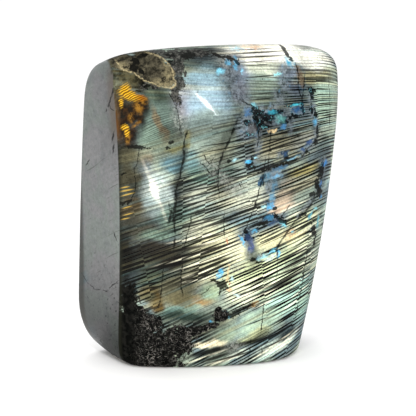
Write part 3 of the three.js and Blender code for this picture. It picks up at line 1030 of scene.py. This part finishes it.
@grouped
def fine_bands(bands, domain):
    drift = layers(bands, 0.012, 0.2, 5.0)
    width = layers(bands, 0.03, 0.4, 9.0)
    turns = split(bands)[2] * 0.6 + drift * 1.6 + domain * 3.7
    return step(maths("PINGPONG", turns, 0.5) + width * 1.15, 0.8, 0.74)


@grouped
def thin_bands(bands):
    drift = layers(bands, 0.02, 0.5, 41.0)
    return step(maths("PINGPONG", split(bands)[2] * 2.1 + drift * 2.0, 0.5), 0.3, 0.42)


@grouped
def dark_bands(bands, loose):
    fine = fine_bands(bands, domains(bands)) * band_strength(loose) * 0.97
    thin = thin_bands(bands) * spots(loose, THIN_ZONES, 0.6) * 0.7
    return largest(fine, thin, streaks(bands, BOLD) * 0.95)


@grouped
def bright_bands(bands):
    return streaks(bands, BRIGHT)


# Paints the flash's tones, with the painted glow round the glints and the painted reflection at the
# upper right corner.
@grouped
def area_tints_and_painted_sheen(loose):
    start = mix("97a595", "69797c", step(noise(loose, 0.05, 2), 0.44, 0.6))
    return paint(start, loose, TINTS_AND_PAINTED_SHEEN)


@grouped
def band_tints(tone, bands):
    tone = mix(tone, "d9d2a0", step(layers(bands, 0.012, 0.4, 13.0), 0.5, 0.7) * 0.24)
    tone = mix(tone, "7fb4ba", step(layers(bands, 0.014, 0.45, 17.0), 0.55, 0.72) * 0.3)
    return times(tone, grey(layers(bands, 0.05, 1.6, 21.0) * 1.3 + 0.42), 0.85)


@grouped
def shading(loose):
    """How much light the smoky areas leave."""
    light = 1.0
    place = mapped(loose)
    for value, *row in SHADES:
        light = light * (union(place, [row], 0.8) * (value - 1) + 1.0)
    return grey(light)


@grouped
def grain(plain):
    """Fine speckle and soft smoky shading."""
    fine = noise(plain, 1.1, 3, 0.8)
    smoke = noise(plain, 0.11, 3, 0.6)
    return grey(fine * 2.0 + smoke * 1.4 - 0.74)


# What lies over the bands on the show face.

@grouped
def with_veins(tone, plain, torn):
    """Smoky blue-grey veins with tangles of black and teal."""
    mottle = noise(plain, 0.4, 4, 0.7)
    smoke = mix("1f2629", "6d777e", step(mottle, 0.36, 0.58))
    smoke = mix(smoke, "48799a", step(noise(plain, 0.5, 2), 0.58, 0.7) * 0.5)
    tone = mix(tone, smoke, spots(torn, VEINS, 0.9) * 0.8)
    specks = mix("06080a", "5e9aa2", step(noise(plain, 0.9, 2), 0.58, 0.7) * 0.8)
    return mix(tone, specks, broken(torn, TANGLES, noise(plain, 0.6, 3, 0.7)) * 0.93)


@grouped
def with_frost(tone, plain, torn):
    """Pale grains that cloud the flash."""
    grains = mix("454a44", "aeb2ab", step(noise(plain, 0.9, 3, 0.8), 0.4, 0.62))
    return mix(tone, grains, spots(torn, FROST, 0.9) * 0.45)


@grouped
def with_glows(tone, torn):
    """Glints of blue and other strong colour."""
    place = mapped(torn)
    colour, cover = "4f94b8", 0.0
    for code, *row in GLOWS:
        spot = union(place, [row], 0.8)
        colour = mix(colour, code, spot * 3)
        cover = maths("MAXIMUM", spot, cover)
    return mix(tone, colour, cover * (step(noise(torn, 0.45, 3, 0.7), 0.36, 0.5) * 0.6 + 0.32))


@grouped
def with_rock(tone, plain, torn):
    """Dark rock with pale specks along the top."""
    rock = mix("101110", "605f5a", step(noise(plain, 0.9, 4, 0.8), 0.4, 0.74))
    return mix(tone, rock, broken(torn, ROCK, noise(plain, 0.5, 3, 0.7)) * 0.94)


@grouped
def dark_marks(plain, ragged, torn):
    """Cracks, worn away here and there, blots and small specks."""
    wear = step(noise(plain, 0.5, 2), 0.28, 0.44)
    specks = step(noise(plain, 0.7, 2), 0.7, 0.76) * 0.8
    blots = broken(torn, BLOTS, noise(plain, 0.6, 3, 0.7))
    return largest(specks, blots, cracks(ragged, CRACKS) * wear)


def flash(places):
    """The colours of the show face."""
    plain, loose, torn, bands = places.plain, places.loose, places.torn, places.bands
    tone = band_tints(area_tints_and_painted_sheen(loose), bands)
    tone = times(tone, shading(loose))
    tone = mix(tone, "fbf7dc", bright_bands(bands) * 0.75)
    tone = mix(tone, "030403", dark_bands(bands, loose))
    tone = with_veins(tone, plain, torn)
    tone = with_frost(tone, plain, torn)
    tone = with_glows(tone, torn)
    tone = times(tone, grain(plain), 0.85)
    tone = with_rock(tone, plain, torn)
    return mix(tone, "080a07", dark_marks(plain, places.ragged, torn) * 0.92)


# The gold flash, the crust and the black rock.

def gold_stripes(plain):
    """Fine slanted stripes, 0 to 0.5."""
    x, y, z = split(plain)
    turns = z * 0.96 - x * 0.55 + noise(plain, 0.25, 2) * 2.2
    return maths("PINGPONG", turns, 0.5)


@grouped
def with_gold(tone, plain, ragged, loose, bands):
    mottle = noise(plain, 0.45, 4, 0.7)
    olive = mix("1f1e13", "524d36", step(mottle, 0.34, 0.66))
    brown = mix("100801", "301c08", step(mottle, 0.42, 0.64))
    amber = mix("342108", "946a26", step(mottle, 0.4, 0.62))
    yellow = mix("cfa42a", "955c18", step(split(plain)[0], -41.5, -37.5))
    gold = mix("5c380a", yellow, step(gold_stripes(plain), 0.12, 0.36))
    tone = mix(tone, olive, spots(loose, OLIVE, 0.8) * 0.93)
    tone = mix(tone, brown, spots(loose, GOLD_BROWN, 0.7) * 0.95)
    tone = mix(tone, amber, spots(ragged, AMBER, 0.9) * 0.85)
    tone = mix(tone, gold, spots(ragged, GOLD, 0.5))
    return mix(tone, "c0a04c", streaks(bands, LOW_GOLD) * 0.7)


@grouped
def crust_area(plain):
    return spots(shaken(plain, 2.5, 0.5), CRUST, 0.12)


@grouped
def with_crust(tone, crust, plain, ragged):
    mottle = noise(plain, 0.35, 5, 0.75)
    brown = mix("26251f", "5f5a4a", step(mottle, 0.36, 0.62))
    brown = mix(brown, "8d8466", spots(ragged, CRUST_LIGHTS, 0.8) * step(mottle, 0.4, 0.55))
    brown = times(brown, grey(noise(plain, 0.9, 4, 0.8) * 2.4 - 0.5), 0.85)
    tone = mix(tone, brown, crust)
    speckle = noise(plain, 0.8, 3, 0.7)
    tone = mix(tone, "0f100f", broken(ragged, CRUST_DARKS, speckle) * 0.93)
    edge = cracks(ragged, CRUST_EDGE, 0.7) * step(speckle, 0.36, 0.56)
    return mix(tone, "ada07c", edge * 0.85)


def needles(plain):
    """Short pale needles that lie every way."""
    drawn = 0.0
    for turn in (15, 60, 105, 150):
        lie = (0, math.radians(turn), 0)
        place = mapped(plain, "TEXTURE", Location=(turn, 0, 0), Rotation=lie, Scale=(2.2, 2.2, 0.3))
        drawn = maths("MAXIMUM", step(noise(place, 1, 1), 0.63, 0.75), drawn)
    return drawn


@grouped
def matrix_area(plain):
    return broken(plain, MATRIX, noise(plain, 0.4, 4, 0.7))


@grouped
def with_matrix(tone, matrix, plain):
    black = mix("020302", "151513", step(noise(plain, 0.5, 3), 0.45, 0.65))
    dusting = (step(noise(plain, 0.12, 1), 0.35, 0.6) * 0.5 + 0.4) * step(split(plain)[0], -43, -32)
    return mix(tone, mix(black, "85827e", needles(plain) * dusting), matrix)


@grouped
def relief(plain, crust, matrix):
    """How far the crust and the black rock stand rough from the polish, in millimetres."""
    return noise(plain, 0.9, 3, 0.7) * (crust + matrix * 0.5)


# The left side, the back and the ridge between the left side and the show face.

def side_stone(plain, bands):
    """Plain grey stone, mottled, faintly layered and pitted most low down."""
    tone = mix("676d6b", "6c6d6f", step(noise(plain, 0.07, 3), 0.42, 0.58))
    tone = mix(tone, "5c6062", step(noise(plain, 0.25, 4, 0.6), 0.48, 0.68) * 0.6)
    tone = times(tone, grey(layers(bands, 0.02, 0.5, 31.0) * 0.5 + 0.75), 0.5)
    tone = times(tone, grey(noise(plain, 0.7, 4, 0.8) * 1.1 + 0.46), 0.8)
    pits = step(noise(plain, 0.75, 2), 0.63, 0.69) * (step(split(plain)[2], 60, 20) * 0.5 + 0.2)
    return mix(tone, "1c1d1f", pits)


def with_dull_flash(tone, plain, bands):
    """A little dull blue towards the back, and short dark layers."""
    patches = step(noise(plain, 0.035, 2), 0.5, 0.64) * step(layers(bands, 0.03, 0.6, 37.0), 0.42, 0.56)
    tone = mix(tone, "46646c", patches * step(split(plain)[1], 8, 18) * 0.6)
    return mix(tone, "343736", step(layers(bands, 0.2, 1.0, 43.0), 0.66, 0.74) * 0.5)


def with_painted_side_shade_and_tones(tone, plain):
    """Painted shade, darker low down at the front and black along the back left edge; darker near the
    top of the ridge and brown near the gold.
    """
    x, y, z = split(plain)
    # Painted shade: the side darkens towards the floor, over a lower band at the back.
    light = largest(step(z, -5, 62) * 0.86 + 0.14, step(y, 18, 26) * step(z, -5, 24) * 0.9)
    light = light * (1.0 - step(z, 80, 105) * step(y, 10, -6) * 0.26)
    tone = times(tone, grey(light))
    tone = mix(tone, "4e4238", step(y, -2.5, -7) * step(z, 96, 108) * 0.55)
    # Painted shade: a dark rim along the back left edge, ragged in height.
    ragged = noise(plain, 0.06, 3) * 24
    edge = step(y, 17, 19.5) * step(z + ragged, 116, 84) * step(x, -46, -52)
    return mix(tone, "2a2a25", edge * 0.8)


@grouped
def side_colour(plain, bands):
    tone = side_stone(plain, bands)
    tone = with_dull_flash(tone, plain, bands)
    tone = with_painted_side_shade_and_tones(tone, plain)
    x, y, z = split(plain)
    wear = step(noise(plain, 0.45, 2), 0.36, 0.46)
    lines = cracks(shaken(bundle(y, 0.0, z), 1.5, 0.3), SIDE_CRACKS)
    return mix(tone, "0c0c0c", lines * wear * 0.9)


@grouped
def beyond_ridge(plain):
    """Distance in front of the ridge where the show face meets the left side, negative beside it."""
    x, y, z = split(plain)
    ridge_x = (z / RIDGE_LEANS_AT) ** 6 * -RIDGE_LEAN + RIDGE_X
    ridge_y = (z - RIDGE_FRONT) * (z - RIDGE_FRONT) * RIDGE_BOW + RIDGE_Y
    return (x - ridge_x) * ACROSS_RIDGE[0] + (y - ridge_y) * ACROSS_RIDGE[1]


@grouped
def behind(plain, bands):
    """Where the flash ends, streaked and patchy, towards the back."""
    patches = noise(plain, 0.05, 3) * 22 + layers(bands, 0.02, 0.5, 53.0) * 8
    return step(split(plain)[1] + patches, 13.5, 22)


def plain_sides(places, ridge):
    """1 on the left side and the back, 0 on the show face, the top and the right edge."""
    x, y, z = split(places.plain)
    left = step(ridge, 0.25, -0.25) * step(z, 131, 128)
    return largest(left, behind(places.plain, places.bands), step(x, -48.2, -49.4))


def with_ridge(tone, ridge, plain):
    """A dark strip along the ridge, brown beside the gold."""
    x, y, z = split(plain)
    strip = step(ridge, 2.4, 0.4) * step(z, 62, 50) * 0.93
    strip = largest(strip, step(ridge, 2.6, 0.3) * step(z, 128, 100) * 0.72)
    return mix(tone, mix("191a14", "6b4824", step(z, 98, 108) * step(z, 127, 121)), strip)


def stone_material():
    global TREE
    material = bpy.data.materials.new("polished_stone")
    material.use_nodes = True
    TREE = material.node_tree
    places = Places()
    crust = crust_area(places.plain)
    matrix = matrix_area(places.plain)
    ridge = beyond_ridge(places.plain)
    sides = plain_sides(places, ridge)

    tone = flash(places)
    tone = with_gold(tone, places.plain, places.ragged, places.loose, places.bands)
    tone = with_crust(tone, crust, places.plain, places.ragged)
    tone = with_matrix(tone, matrix, places.plain)
    tone = with_ridge(tone, ridge, places.plain)
    tone = mix(tone, side_colour(places.plain, places.bands), sides)

    bump = new_node("ShaderNodeBump")
    bump.inputs["Distance"].default_value = MM
    bump.inputs["Strength"].default_value = RELIEF_STRENGTH
    feed(bump.inputs["Height"], relief(places.plain, crust, matrix))

    shader = TREE.nodes["Principled BSDF"]
    polished = 1.0 - largest(crust, matrix * 0.5)
    feed(shader.inputs["Base Color"], tone)
    feed(shader.inputs["Roughness"], largest(crust, matrix * 0.6) * RAW_ROUGHNESS + ROUGHNESS)
    feed(shader.inputs["Normal"], Flow(bump.outputs[0]))
    feed(shader.inputs["Coat Weight"], (sides * SIDE_COAT + FACE_COAT) * polished)
    shader.inputs["Specular IOR Level"].default_value = 0.0
    shader.inputs["Coat Roughness"].default_value = COAT_ROUGHNESS
    return material


stone = make_stone()
stone.data.materials.append(stone_material())
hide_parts(NODE)
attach(stone, "root")
make_camera()
make_floor()
make_world()
make_lamps()
bpy.context.scene.view_settings.view_transform = "Standard"
